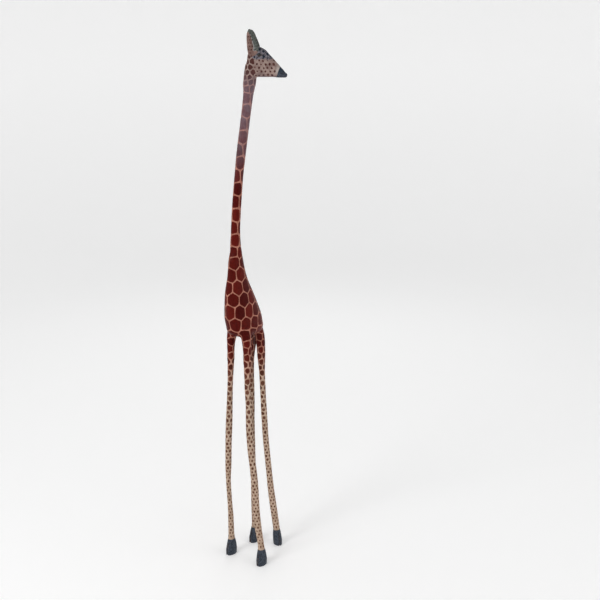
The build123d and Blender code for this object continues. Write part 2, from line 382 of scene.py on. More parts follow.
def ring_between(points, rim, mouth, middle):
    """Triangles between two loops that run the same way round."""
    def turn(loop, i):
        point = points[loop[i % len(loop)]]
        return atan2(point[1] - middle.y, point[0] - middle.x) + tau * (i // len(loop))

    made = []
    i = j = 0
    while i < len(rim) or j < len(mouth):
        take_rim = j >= len(mouth) or (i < len(rim) and turn(rim, i + 1) <= turn(mouth, j + 1))
        if take_rim:
            made.append([rim[i % len(rim)], rim[(i + 1) % len(rim)], mouth[j % len(mouth)]])
            i += 1
        else:
            made.append([rim[i % len(rim)], mouth[(j + 1) % len(mouth)], mouth[j % len(mouth)]])
            j += 1
    return made


def add_piece(name, mesh):
    obj = bpy.data.objects.new(name, mesh)
    SCENE.collection.objects.link(obj)
    mesh.shade_smooth()
    mesh.set_sharp_from_angle(angle=SHARP_ANGLE)
    return obj


# --- Carving the body -------------------------------------------------------------------------
def carve_hooves(clay):
    """A proud edge at each coronet and a cleft between the two toes of each hoof."""
    cleft_half, cleft_depth, edge_height = 1.2, 2.2, 0.7
    soles = {name: middle_at(cad_points(f"leg_{name}"), 0, 0.5 * MM) for name in LEGS}
    low = np.where(clay.points[:, 2] < 90 * MM)[0]
    plan = clay.points[low, :2]
    height = clay.points[low, 2] / MM
    nearest = np.argmin([np.linalg.norm(plan - soles[name], axis=1) for name in LEGS], axis=0)
    amount = np.zeros(len(clay.points))
    edge = edge_height * ease(height, 49, 46) * ease(height, 14, 40)
    cleft = np.zeros(len(low))
    for k, name in enumerate(LEGS):
        turn = radians(TOES[name])
        toe = np.array([sin(turn), -cos(turn)])
        side = np.array([cos(turn), sin(turn)])
        away = (plan - soles[name]) / MM
        groove = np.exp(-((away @ side) / cleft_half) ** 2)
        cleft += (nearest == k) * groove * ease(away @ toe, 1, 8) * ease(height, 42, 30)
    amount[low] = edge - cleft_depth * cleft
    clay.push(amount)
    clay.points[:, 2] = np.maximum(clay.points[:, 2], 0)


def from_axis(points, cad, heights, reach):
    """How far points are in x and y from the axis of some CAD points."""
    middles = np.array([middle_at(cad, height, reach) for height in heights])
    return [points[:, k] - np.interp(points[:, 2], heights, middles[:, k]) for k in (0, 1)]


def neck_turn(points):
    """Angle of each point round the neck's own axis, from its back, in radians."""
    cad = np.vstack([cad_points(name) for name in ("trunk", "neck", "head")])
    x, y = from_axis(points, cad, np.arange(900, 1400, 20) * MM, 14 * MM)
    return np.arctan2(x, y)


def mane(points):
    """1 on the mane down the back of the neck, and 0 away from it."""
    height = points[:, 2] / MM
    ends = ease(height, MANE_FOOT, MANE_FOOT + 25) * ease(height, MANE_TOP + 8, MANE_TOP - 12)
    return ends * (1 - ease(abs(neck_turn(points)), 0.8 * MANE_HALF, 1.25 * MANE_HALF))


def carve_body(mesh):
    """Legs run smoothly into the trunk, with a mane, hooves and the unevenness of hand carving."""
    clay = Clay(mesh)
    clay.even_out(5)
    height = clay.points[:, 2] / MM
    clay.soften(24, ease(height, 600, 640) * ease(height, 790, 730))
    clay.soften(80, ease(height, 638, 658) * ease(height, 738, 712))
    carve_hooves(clay)
    hair = 0.35 * np.sin(clay.points[:, 2] / MM * 1.9 + 9 * neck_turn(clay.points))
    amount = mane(clay.points) * (1.3 + hair)
    amount += 0.2 * ripple(clay.points, 15 * MM, 3) + 0.1 * ripple(clay.points, 6 * MM, 8)
    amount[clay.points[:, 2] < 1.5 * MM] = 0
    clay.push(amount)
    clay.points[:, 2] = np.maximum(clay.points[:, 2], 0)
    clay.write()


# --- Carving the head -------------------------------------------------------------------------
def mound(place, rise, middle, radii):
    """The rise at the middle, falling away over the radii, on both sides of the head."""
    total = 0
    for axis in range(3):
        values = abs(place[:, axis]) if axis == 1 else place[:, axis]
        total = total + ((values - middle[axis]) / radii[axis]) ** 2
    return rise * np.exp(-total)


def eye_distance(place):
    """Distance from the middle of the nearer eye, seen from the side, in mm."""
    return np.hypot(place[:, 0] - EYE[0], (place[:, 2] - EYE[2]) * 1.25)


def mouth_height(ahead):
    """Height of the line between the lips."""
    return 1388.6 + 0.06 * (100 - ahead)


def carve_head(mesh):
    """Brow, cheeks and muzzle first, then eyes with lids, lips and nostrils."""
    clay = Clay(mesh)
    clay.even_out(4)
    clay.soften(6, ease(clay.points[:, 2] / MM, 1352, 1372))
    place = in_head(clay.points)
    behind = ease(place[:, 0], 8, 2) * ease(place[:, 2], 1360, 1374) * ease(place[:, 2], 1436, 1424)
    clay.soften(200, behind)
    place = in_head(clay.points)
    side_on = ease(abs(place[:, 1]), 6, 11)
    clay.push(sum(mound(place, *shape) for shape in HEAD_SHAPES))

    place = in_head(clay.points)
    away = eye_distance(place)
    ball = np.sqrt(np.maximum(EYE_RADIUS**2 - away**2, 0)) * 0.55
    lids = 0.9 * np.exp(-((away - EYE_RADIUS - 1.2) / 1.0) ** 2)
    crease = -0.5 * np.exp(-((away - EYE_RADIUS) / 0.5) ** 2)
    detail = side_on * (ball + lids + crease)
    lips = abs(place[:, 2] - mouth_height(place[:, 0]))
    parted = ease(place[:, 0], 73, 86) * ease(place[:, 0], 99, 92)
    detail -= 0.7 * np.exp(-((lips / 0.9) ** 2)) * parted
    detail += mound(place, *NOSTRIL)
    detail += 0.15 * ripple(clay.points, 11 * MM, 5) + 0.07 * ripple(clay.points, 4 * MM, 2)
    clay.push(detail * ease(place[:, 2], 1346, 1352))
    clay.write()


# --- Carving the small pieces -----------------------------------------------------------------
def in_ear(points, side):
    """Points in an ear's own directions, in mm: ahead, out to its side, up from the root."""
    place = in_head(points) - np.array([EAR_ROOT[0], side * EAR_ROOT[1], EAR_ROOT[2]])
    place[:, 1] = place[:, 1] * side - np.tan(EAR_LEAN) * place[:, 2]
    place[:, 0] += np.tan(EAR_RAKE) * place[:, 2]
    return place


def in_scoop(place):
    """How far ear points are from the middle of the scoop, 1 at its edge, and how far ahead of it."""
    heights, x, y, half_x, half_y = (np.interp(place[:, 2], *np.array(EAR_SCOOP).T[[0, k]])
                                     for k in range(5))
    reach = np.hypot((place[:, 0] - x) / half_x, (place[:, 1] - y) / half_y)
    return reach + 0.4 * abs(place[:, 2] - heights), place[:, 0] - x


def carve_ear(mesh, side):
    """A soft tip, a raised rim round the scoop and fine ribs in it."""
    clay = Clay(mesh)
    clay.even_out(3)
    place = in_ear(clay.points, side)
    clay.soften(25, ease(place[:, 2], 46, 56))
    reach, ahead = in_scoop(place)
    outside = ease(place[:, 2], -2, 8)
    rim = 0.5 * np.exp(-((reach - 1.2) / 0.18) ** 2) * ease(place[:, 2], 54, 44)
    ribs = 0.25 * np.cos(1.7 * ahead) * ease(reach, 1.1, 0.98)
    clay.push(outside * (rim + ribs))
    clay.write()


def carve_horn(mesh, side):
    """A knob near the tip and short hair all round."""
    clay = Clay(mesh)
    clay.even_out(3)
    place = in_head(clay.points) - np.array([HORN_ROOT[0], side * HORN_ROOT[1], HORN_ROOT[2]])
    turn = np.arctan2(place[:, 1], place[:, 0])
    knob = 1.1 * ease(place[:, 2], 13, 19) * ease(place[:, 2], 26, 21)
    hair = 0.18 * np.cos(11 * turn + 0.2 * place[:, 2]) * ease(place[:, 2], 3, 8)
    clay.push(knob + hair)
    clay.write()


def carve_tail(mesh):
    """Strands of hair down the tuft, under a collar."""
    clay = Clay(mesh)
    clay.even_out(3)
    x, y = from_axis(clay.points, cad_points("tail"), np.arange(374, 700, 12) * MM, 9 * MM)
    turn = np.arctan2(y, x)
    height = clay.points[:, 2] / MM
    strands = np.cos(8 * turn + 0.05 * height) + 0.4 * np.cos(13 * turn - 0.08 * height)
    tuft = ease(height, TUFT_TOP, TUFT_TOP - 18)
    collar = 0.7 * np.exp(-((height - TUFT_TOP) / 3) ** 2)
    clay.push(0.45 * tuft * strands + collar)
    clay.write()


# --- Laying out the painted patches -----------------------------------------------------------
def outline(tree, middle, height):
    """Points round the carving at a height, from a middle inside it."""
    hits = []
    for k in range(OUTLINE_STEPS):
        angle = tau * k / OUTLINE_STEPS
        start = Vector((middle[0], middle[1], height))
        hit = tree.ray_cast(start, Vector((cos(angle), sin(angle), 0)))[0]
        if hit is not None:
            hits.append(hit)
    return np.array(hits)


def row_of_patches(loop, pitch, offset, reach, sway):
    """Middles round an outline, about a pitch apart. One is offset across the seen side."""
    closed = np.vstack([loop, loop[:1]])
    along = np.concatenate([[0], np.cumsum(np.linalg.norm(np.diff(closed, axis=0), axis=1))])
    length = along[-1]
    count = max(3, round(length / pitch))
    middle = (loop.min(0) + loop.max(0)) / 2
    across = abs((loop - middle) @ ACROSS - offset)
    across[(loop - middle) @ OUT < 0] = np.inf
    start = along[np.argmin(across)]
    steps = np.arange(count) + RANDOM.uniform(-0.1, 0.1, count) * (np.arange(count) > 0)
    places = (start + length * steps / count) % length
    row = np.column_stack([np.interp(places, along, closed[:, k]) for k in range(3)])
    row[:, 2] += RANDOM.uniform(-sway, sway, count)
    return np.column_stack([row, np.full(count, reach)])


def body_patches(tree):
    """Middles and reaches of the patches on the trunk and neck."""
    trunk = cad_points("trunk")
    neck = np.vstack([cad_points("trunk"), cad_points("neck"), cad_points("head")])
    rows = []
    for height, offset in TRUNK_ROWS:
        loop = outline(tree, middle_at(trunk, height * MM, 12 * MM), height * MM)
        rows.append(row_of_patches(loop, PATCH_PITCH, offset * MM, PATCH_REACH, 2 * MM))
    for height, offset in NECK_ROWS:
        loop = outline(tree, middle_at(neck, height * MM, 14 * MM), height * MM)
        rows.append(row_of_patches(loop, NECK_PITCH, offset * MM, NECK_REACH, 1.5 * MM))
    return np.vstack([*rows, *belly_patches(tree)])


def belly_patches(tree):
    """Middles and reaches of the patches between the legs, found from inside the trunk."""
    inside, lowest = 712 * MM, 660 * MM
    low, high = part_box("trunk")
    rows = []
    for across in BELLY_ACROSS:
        for along in BELLY_ALONG:
            start = Vector(((low.x + high.x) / 2 + across * MM, along * MM, inside))
            hit = tree.ray_cast(start, Vector((0, 0, -1)))[0]
            if hit is not None and hit.z > lowest:
                rows.append([[*hit, BELLY_REACH]])
    return rows


def leg_patches(tree, name):
    """Middles and radii of the spots on one leg and its shoulder or haunch."""
    heights, pitches, radii = np.array(LEG_SPOTS).T
    points = cad_points(f"leg_{name}")
    top = JOINTS[name][0]
    rows = []
    height, row = heights[-1], 0
    while height > heights[0] + 4:
        middle = middle_at(points, height * MM, 9 * MM) if height < top.z / MM - 5 else top.xy
        pitch = np.interp(height, heights, pitches)
        radius = np.interp(height, heights, radii)
        loop = outline(tree, middle, height * MM)
        loop = loop[np.linalg.norm(loop[:, :2] - np.array(middle), axis=1) < 34 * MM]
        offset = (row % 2) * pitch / 2 + RANDOM.uniform(-1, 1)
        made = row_of_patches(loop, pitch * MM, offset * MM, radius * MM, 0.1 * pitch * MM)
        made[:, 3] *= RANDOM.uniform(0.82, 1.12, len(made))
        rows.append(made)
        height -= 0.95 * pitch
        row += 1
    return np.vstack(rows)


def cheek_spots(tree, side):
    rows = []
    for row, height in enumerate(CHEEK_ROWS):
        for step in range(6):
            ahead = 19 + 11 * step + 5.5 * (row % 2) + RANDOM.uniform(-1.5, 1.5)
            top = 1447 - 0.9 * max(ahead - 34, 0)
            if ahead <= 72 and height <= top:
                start = from_head(ahead, 0, height + RANDOM.uniform(-1.2, 1.2))
                hit = tree.ray_cast(Vector(start), Vector(side * HEAD_LEFT))[0]
                if hit is not None:
                    rows.append([*hit, RANDOM.uniform(3.0, 4.0) * MM])
    return rows


def brow_spots(tree, side):
    rows = []
    for ahead, height in BROW_SPOTS:
        hit = tree.ray_cast(Vector(from_head(ahead, 0, height)), Vector(side * HEAD_LEFT))[0]
        if hit is not None:
            rows.append([*hit, RANDOM.uniform(3.2, 4.6) * MM])
    return rows


def nape_patches(tree):
    rows = []
    inside, round_the_neck = 14, 1372
    for row, (height, turns, reach) in enumerate(NAPE_ROWS):
        for turn in np.arange(-0.5, 0.5, 1 / turns):
            angle = HEAD_TURN + pi + tau * (turn + 0.5 * (row % 2) / turns)
            angle += RANDOM.uniform(-0.07, 0.07)
            start = Vector(from_head(5, 0, height + RANDOM.uniform(-1.5, 1.5)))
            hit = tree.ray_cast(start, Vector((cos(angle), sin(angle), 0)))[0]
            if hit is None:
                continue
            if height < round_the_neck or in_head(np.array([hit]))[0, 0] < inside:
                rows.append([*hit, reach * MM])
    return rows


def head_patches(tree):
    """Spots on the cheeks and brow, and bigger patches at the nape."""
    rows = []
    for side in (-1, 1):
        rows += cheek_spots(tree, side)
        rows += brow_spots(tree, side)
    return np.array(rows + nape_patches(tree))


def spots_at(points, patches):
    """How far inside its patch each point is, in metres, and which patch is the nearest."""
    near = patches[(patches[:, 2] > points[:, 2].min() - NEARBY)
                   & (patches[:, 2] < points[:, 2].max() + NEARBY)]
    stretch = np.array([1, 1, PATCH_STRETCH])
    inside = np.empty(len(points))
    chosen = np.empty(len(points), int)
    for start in range(0, len(points), BATCH):
        some = points[start:start + BATCH]
        gap = (some[:, None, :] - near[None, :, :3]) * stretch
        away = np.sqrt((gap**2).sum(2)) - near[:, 3]
        closest = np.argmin(away, axis=1)
        first, second = np.partition(away, 1, axis=1)[:, :2].T
        border = (second - first) / 2 - LINE_HALF
        rounded = -LINE_ROUNDING * np.logaddexp(-border / LINE_ROUNDING, first / LINE_ROUNDING)
        inside[start:start + BATCH] = rounded
        chosen[start:start + BATCH] = closest
    return inside, chosen


# --- Paint fields on a piece ------------------------------------------------------------------
NO_SPOT = -10 * MM


def store(mesh, name, values):
    field = mesh.attributes.new(name, "FLOAT", "POINT")
    field.data.foreach_set("value", np.asarray(values, np.float32))


def paint_fields(obj, patches=None, dark=None, extra=()):
    """Stores what the materials read: patches, dark paint with the painted shade under the jaw, edges and
    hollows.
    """
    clay = Clay(obj.data)
    bends = clay.bends()
    for middle, _, _ in JOINTS.values():
        bends[abs(clay.points[:, 2] - middle.z) < 3 * MM] = 0
    store(obj.data, "worn", ease(bends, *WORN_BENDS))
    # How strongly the colour is darkened in each hollow.
    store(obj.data, "hollow_darkening", ease(bends, *HOLLOW_DARKENING_BENDS))
    if patches is None:
        store(obj.data, "spot", np.full(len(clay.points), NO_SPOT))
    else:
        inside, chosen = spots_at(clay.points, patches)
        shades = np.random.default_rng(3).uniform(0, 1, len(patches) + 1)
        store(obj.data, "spot", inside)
        store(obj.data, "shade", shades[chosen])
    if dark is not None:
        store(obj.data, "dark", dark(clay.points))
    for name, field in dict(extra).items():
        store(obj.data, name, field(clay.points))


def hoof_and_mane(points):
    """Metres inside the dark paint: hooves below the coronet, and the mane."""
    hoof = CORONET + 0.5 * MM - points[:, 2]
    return np.maximum(hoof, (mane(points) - 0.5) * 2 * MM)


def past_the_cheek(place):
    """Distance ahead, counted along the slanting edge of the nose's paint, in mm."""
    return place[:, 0] - NOSE_SLOPE * (place[:, 2] - JAW)


def head_dark(points):
    """Metres inside the dark paint of the eyes, the nose and the lips, and inside the painted shade along
    the underside of the jaw.
    """
    place = in_head(points)
    eye = EYE_RADIUS + 1.0 - eye_distance(place)
    eye[abs(place[:, 1]) < EYE_INSIDE] = -9
    nose = past_the_cheek(place) - NOSE_START
    lips = 0.7 - abs(place[:, 2] - mouth_height(place[:, 0])) - 0.2 * np.maximum(80 - place[:, 0], 0)
    # Painted shade: a dark band along the underside of the jaw, where the jaw shades itself.
    jaw = np.minimum.reduce([JAW + 0.2 - place[:, 2], place[:, 0] - 27, place[:, 2] - JAW + 4])
    return np.maximum.reduce([eye, nose, lips, jaw]) * MM


def head_eye(points):
    """1 on the eyeballs."""
    place = in_head(points)
    return ease(eye_distance(place), EYE_RADIUS - 0.2, EYE_RADIUS - 0.9) * (abs(place[:, 1]) > EYE_INSIDE)


def head_brow(points):
    """1 on the grey of the brow and forehead and 0 elsewhere."""
    place = in_head(points)
    return ease(place[:, 2], 1416, 1434) * ease(place[:, 0], 4, 18) * ease(place[:, 0], 80, 62)


def head_pale(points):
    """1 on the pale band before the nose."""
    place = in_head(points)
    return ease(past_the_cheek(place), 62, 71) * ease(place[:, 2], 1382, 1394)


def ear_dark(side):
    """Metres inside an ear's dark paint: its scoop, its front edge and its tip."""
    def field(points):
        place = in_ear(points, side)
        reach, ahead = in_scoop(place)
        ragged = 1.6 * np.sin(1.3 * place[:, 1] + 0.9 * place[:, 0])
        ragged += 1.1 * np.sin(2.9 * place[:, 1])
        scoop = np.minimum((1.08 - reach) * 5, ahead + 2.5)
        front = np.minimum(ahead - 1.5, place[:, 2] + 0.9 * ahead - 8 + ragged)
        tip = place[:, 2] + 0.7 * place[:, 0] - 47 + ragged
        return np.maximum.reduce([scoop, front, tip]) * MM
    return field


def ear_rim(side):
    """Strength of the pale edge along the dark paint in the scoop."""
    def field(points):
        reach, ahead = in_scoop(in_ear(points, side))
        return 0.7 * ease(reach, 1.75, 1.45) * ease(ahead, -6.5, -3.5)
    return field


def ear_spots(side, tree):
    """Brown spots up the back of an ear, on both its faces."""
    rows = []
    for row, up in enumerate(EAR_SPOT_ROWS):
        out_here = side * (EAR_ROOT[1] + 0.1 * up)
        for out in (-1, 1):
            for ahead in (-5 + 3 * (row % 2), 1 + 3 * (row % 2)):
                start = Vector(from_head(EAR_ROOT[0] + ahead, out_here, EAR_ROOT[2] + up))
                hit = tree.ray_cast(start, Vector(out * side * HEAD_LEFT))[0]
                if hit is not None:
                    rows.append([*hit, EAR_SPOT])
    return np.array(rows)


# --- Materials --------------------------------------------------------------------------------
def paint(red, green, blue):
    """A colour given as screen values from 0 to 255."""
    linear = [((v / 255 + 0.055) / 1.055) ** 2.4 if v > 10 else v / 255 / 12.92
              for v in (red, green, blue)]
    return (*linear, 1.0)


class Shader:
    """A material's nodes."""

    def __init__(self, name):
        self.material = bpy.data.materials.new(name)
        self.material.use_nodes = True
        self.tree = self.material.node_tree
        self.tree.nodes.clear()
        self.place = self.add("ShaderNodeTexCoord").outputs["Object"]
        self.height = self.add("ShaderNodeSeparateXYZ", {"Vector": self.place}).outputs["Z"]

    def add(self, kind, inputs=None, **settings):
        node = self.tree.nodes.new(kind)
        for key, value in settings.items():
            setattr(node, key, value)
        for key, value in (inputs or {}).items():
            if isinstance(value, bpy.types.NodeSocket):
                self.tree.links.new(value, node.inputs[key])
            else:
                node.inputs[key].default_value = value
        return node

    def field(self, name):
        """A stored field, or 0 where nothing is stored."""
        return self.add("ShaderNodeAttribute", attribute_name=name).outputs["Fac"]

    def noise(self, scale, detail=2.0, stretch=(1, 1, 1)):
        """Noise with about scale humps in a metre."""
        vector = self.add("ShaderNodeMapping", {"Vector": self.place, "Scale": stretch}).outputs[0]
        inputs = {"Vector": vector, "Scale": scale, "Detail": detail}
        return self.add("ShaderNodeTexNoise", inputs).outputs[0]

    def calc(self, operation, first, second=0.0):
        return self.add("ShaderNodeMath", {0: first, 1: second}, operation=operation).outputs[0]

    def fade(self, value, low, high, start=0.0, end=1.0):
        """start up to low and end from high, with a smooth turn between them."""
        inputs = {"Value": value, "From Min": low, "From Max": high, "To Min": start, "To Max": end}
        node = self.add("ShaderNodeMapRange", inputs, interpolation_type="SMOOTHSTEP")
        return node.outputs[0]

    def mix(self, share, first, second):
        return self.add("ShaderNodeMix", {0: share, 6: first, 7: second}, data_type="RGBA").outputs[2]

    def value(self, colour, amount):
        inputs = {"Color": colour, "Value": amount}
        return self.add("ShaderNodeHueSaturation", inputs).outputs[0]

    def finish(self, colour, roughness, height, coat, depth=0.35 * MM):
        bump = self.add("ShaderNodeBump", {"Height": height, "Distance": depth, "Strength": 1.0})
        inputs = {"Base Color": colour, "Roughness": roughness, "Normal": bump.outputs[0],
                  "Coat Weight": coat, "Coat Roughness": COAT_ROUGHNESS,
                  "Specular IOR Level": SPECULAR}
        surface = self.add("ShaderNodeBsdfPrincipled", inputs)
        self.add("ShaderNodeOutputMaterial", {"Surface": surface.outputs[0]})
        return self.material


BARE_WOOD = paint(158, 116, 80)
# Painted sheen: the grey of a reflection of light on the varnish high on the neck, put into the colour.
PAINTED_SHEEN_GREY = paint(126, 120, 130)
EYE_BLACK = paint(20, 17, 18)
EDGE = 0.35 * MM             # how softly one paint ends on another
COAT_ROUGHNESS = 0.22
SPECULAR = 0.06              # low, because the paint is old and dull
COAT = 0.025


def centred(shader, scale, detail, size):
    """Noise about zero, of about a size."""
    return shader.calc("MULTIPLY", shader.calc("SUBTRACT", shader.noise(scale, detail), 0.5), size)


def faded_below(shader, colours, blotches, tone, below):
    """Ground and mark colours that give way to others lower down."""
    ground, mark, start, end = below
    height = shader.calc("ADD", shader.height, shader.calc("MULTIPLY", blotches, 0.2 * (end - start)))
    upper = shader.fade(height, start, end)
    return (shader.mix(upper, shader.mix(blotches, *ground), colours[0]),
            shader.mix(upper, shader.mix(tone, *mark), colours[1]))


def greyed(shader, colours, grey, dark):
    """Ground and mark colours with the greys of the brow and the pale paint before the nose."""
    greys = shader.mix(shader.fade(shader.noise(260, 3), 0.42, 0.6), grey[0], grey[1])
    brow = shader.calc("ADD", shader.field("brow"), centred(shader, 200, 3, 0.9))
    brow = shader.fade(brow, 0.35, 0.65)
    ground = shader.mix(shader.field("pale"), colours[0], grey[2])
    return shader.mix(brow, ground, greys), shader.mix(brow, colours[1], dark[0])


def with_painted_sheen(shader, colour):
    """A colour with a painted sheen high on the neck: the grey that a reflection of light on the varnish
    gives, painted into the colour.
    """
    painted_sheen = shader.fade(shader.height, 1.08, 1.27, 0.0, 0.5)
    painted_sheen = shader.calc("MULTIPLY", painted_sheen, shader.fade(shader.height, 1.35, 1.40, 1.0, 0.0))
    painted_sheen = shader.calc("MULTIPLY", painted_sheen, shader.fade(shader.noise(45, 4), 0.3, 0.6, 0.6, 1.0))
    return shader.mix(painted_sheen, colour, PAINTED_SHEEN_GREY)


def streaked_worn_and_darkened(shader, colour, streaks):
    """A colour with brush streaks, bare wood on worn edges and a darker colour in the hollows."""
    colour = shader.value(colour, shader.fade(streaks, 0.3, 0.7, 0.84, 1.14))
    worn = shader.fade(shader.noise(420, 4), 0.5, 0.62, 0, 0.5)
    colour = shader.mix(shader.calc("MULTIPLY", shader.field("worn"), worn), colour, BARE_WOOD)
    # The colour is darkened here in the hollows, by how sharply the surface bends inwards.
    return shader.value(colour, shader.fade(shader.field("hollow_darkening"), 0, 1, 1.0, 0.55))


def hand_painted(name, ground, mark, dark, grey=None, below=None):
    """Brushed paint over carved wood: a ground, patches, dark parts with the painted shade under the jaw,
    worn edges, darker hollows, varnish and a painted sheen high on the neck.

    grey holds the two greys of the brow and the pale paint before the nose. below holds another
    ground and another paint for patches, and the heights between which they give way."""
    shader = Shader(name)
    ragged = shader.calc("ADD", centred(shader, 190, 3, 2.2 * MM), centred(shader, 1100, 2, 0.7 * MM))
    streaks = shader.noise(700, 3, (1, 1, 0.16))
    blotches = shader.fade(shader.noise(70, 4), 0.36, 0.66)
    tone = shader.calc("ADD", shader.calc("MULTIPLY", shader.field("shade"), 0.55),
                       shader.calc("MULTIPLY", shader.noise(150, 4), 0.5))
    tone = shader.fade(tone, 0.2, 0.85)

    colours = shader.mix(blotches, *ground), shader.mix(tone, *mark)
    if below:
        colours = faded_below(shader, colours, blotches, tone, below)
    if grey:
        colours = greyed(shader, colours, grey, dark)
    patch = shader.fade(shader.calc("ADD", shader.field("spot"), ragged), -EDGE, EDGE)
    colour = shader.mix(patch, *colours)
    dark_colour = shader.mix(shader.fade(shader.noise(240, 4), 0.35, 0.65), *dark)
    # The dark field holds the dark paint, and on the head also the painted shade under the jaw.
    darkness = shader.calc("ADD", shader.field("dark"), shader.calc("MULTIPLY", ragged, 0.5))
    darkness = shader.fade(darkness, -EDGE, EDGE)
    colour = shader.mix(darkness, colour, dark_colour)
    colour = shader.mix(shader.field("eye"), colour, EYE_BLACK)
    # A painted sheen is laid high on the neck here.
    colour = streaked_worn_and_darkened(shader, with_painted_sheen(shader, colour), streaks)

    roughness = shader.fade(shader.noise(320, 3), 0.3, 0.7, 0.34, 0.52)
    coat = shader.calc("ADD", COAT, shader.calc("MULTIPLY", shader.field("eye"), 0.9))
    relief = shader.calc("MULTIPLY", shader.calc("MAXIMUM", patch, darkness), 0.25)
    relief = shader.calc("ADD", shader.calc("MULTIPLY", streaks, 0.5), relief)
    relief = shader.calc("ADD", relief, shader.calc("MULTIPLY", shader.noise(900, 3), 0.25))
    return shader.finish(colour, roughness, relief, coat)


def bare_wood(name):
    """Plain dowel wood with its grain along the dowel."""
    shader = Shader(name)
    grain = shader.noise(900, 5, (1, 1, 0.06))
    colour = shader.mix(shader.fade(grain, 0.35, 0.65), paint(196, 158, 112), paint(160, 118, 76))
    roughness = shader.fade(grain, 0.3, 0.7, 0.5, 0.7)
    return shader.finish(colour, roughness, grain, 0.0, 0.15 * MM)


def plain(name, colour, glow):
    """A plain pale backdrop with a little light of its own."""
    shader = Shader(name)
    faint = shader.noise(3, 2)
    roughness = shader.fade(faint, 0.3, 0.7, 0.8, 0.9)
    material = shader.finish(colour, roughness, faint, 0.0, 0.01 * MM)
    surface = next(node for node in shader.tree.nodes if node.type == "BSDF_PRINCIPLED")
    surface.inputs["Emission Color"].default_value = colour
    surface.inputs["Emission Strength"].default_value = glow
    return material


SLATE = (paint(48, 54, 62), paint(72, 78, 88))
NOSE_SLATE = (paint(34, 41, 50), paint(58, 67, 78))
BODY_GROUND = (paint(176, 118, 100), paint(148, 94, 78))
DEEP_RED = (paint(68, 5, 2), paint(94, 20, 11))
LEG_GROUND = (paint(191, 167, 147), paint(165, 141, 121))
LEG_BROWN = (paint(84, 49, 35), paint(110, 74, 58))
# The head's colours are greyer than the body's: partly their own paint, partly a painted sheen like the
# one high on the neck.
HEAD_GROUND = (paint(152, 132, 124), paint(124, 102, 96))
HEAD_BROWN = (paint(66, 36, 33), paint(88, 58, 54))
HEAD_GREYS = (paint(118, 114, 121), paint(62, 60, 66), paint(164, 153, 147))
EAR_GROUND = (paint(132, 108, 100), paint(108, 84, 78))
EAR_DARK = (paint(66, 70, 66), paint(92, 96, 92))
EAR_GREYS = (paint(152, 150, 148), paint(130, 128, 126), paint(150, 140, 132))
TAIL_GROUND = (paint(92, 48, 38), paint(70, 36, 28))
BLACK = (paint(38, 38, 42), paint(60, 58, 64))
LEG_FADE = (LEG_GROUND, LEG_BROWN, 0.50, 0.68)
NAPE_FADE = (BODY_GROUND, DEEP_RED, 1.345, 1.40)
MATERIALS = {
    "body_paint": hand_painted("body_paint", BODY_GROUND, DEEP_RED, SLATE, below=LEG_FADE),
    "leg_paint": hand_painted("leg_paint", BODY_GROUND, DEEP_RED, SLATE, below=LEG_FADE),
    "head_paint": hand_painted("head_paint", HEAD_GROUND, HEAD_BROWN, NOSE_SLATE, HEAD_GREYS,
                               NAPE_FADE),
    "ear_paint": hand_painted("ear_paint", EAR_GROUND, HEAD_BROWN, EAR_DARK, EAR_GREYS),
    "dark_paint": hand_painted("dark_paint", TAIL_GROUND, DEEP_RED, BLACK),
    "dowel_wood": bare_wood("dowel_wood"),
}


def dress(obj, slot, node):
    """Gives a finished piece the material of its slot, puts it under the root body and hides the CAD node
    that it stands for.
    """
    obj.data.materials.clear()
    obj.data.materials.append(MATERIALS[slot])
    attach(obj, "root")
    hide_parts(node)


# --- Building the pieces ----------------------------------------------------------------------
def body_region(middle):
    """The piece that a face belongs to."""
    if middle.z > HEAD_FOOT:
        return None
    if middle.z > NECK_FOOT:
        return "neck"
    if middle.z > LEG_TOP:
        return "trunk"
    ends = {name: axis_of_leg(name, middle.z) for name in LEGS}
    return "leg_" + min(LEGS, key=lambda name: (ends[name] - middle.xy).length)


LEG_POINTS = {name: cad_points(f"leg_{name}") for name in LEGS}
LEG_AXES = {}


def axis_of_leg(name, height):
    """Middle of a leg at a height, kept for reuse."""
    step = round(height / (10 * MM))
    if (name, step) not in LEG_AXES:
        place = min(max(step * 10 * MM, 5 * MM), 595 * MM)
        LEG_AXES[name, step] = Vector(middle_at(LEG_POINTS[name], place, 9 * MM))
    return LEG_AXES[name, step]


def plug_of(joint):
    """Middle and size of a lump that fills the bores of a joint."""
    middle, radius, _ = joint
    return middle, (radius * PLUG_SPREAD, radius * PLUG_SPREAD, PLUG_HALF)


def model_body():
    """Trunk, neck and legs, cut apart out of one carving, and a search tree."""
    plugs = [plug_of(joint) for joint in JOINTS.values()]
    nodes = ["trunk", "neck", "head", *(f"leg_{name}" for name in LEGS)]
    mesh = remeshed("body_clay", nodes, BODY_VOXEL, plugs)
    carve_body(mesh)
    built = cut(mesh, [LEG_TOP, NECK_FOOT, HEAD_FOOT])
    tree = BVHTree.FromBMesh(built)
    parts = share_out(built, body_region)
    built.free()
    parts.pop(None)
    cap(*parts["trunk"], JOINTS["neck"], True)
    cap(*parts["neck"], JOINTS["neck"], False)
    cap(*parts["neck"], JOINTS["head"], True)
    for name in LEGS:
        cap(*parts["trunk"], JOINTS[name], False)
        cap(*parts[f"leg_{name}"], JOINTS[name], True)
    return parts, tree


def model_head():
    """The head, finer than the body, and a search tree."""
    mesh = remeshed("head_clay", ["neck", "head"], HEAD_VOXEL, [plug_of(JOINTS["head"])])
    carve_head(mesh)
    built = cut(mesh, [HEAD_FOOT])
    tree = BVHTree.FromBMesh(built)
    parts = share_out(built, lambda middle: "head" if middle.z > HEAD_FOOT else None)
    built.free()
    cap(*parts["head"], JOINTS["head"], False)
    return parts["head"], tree


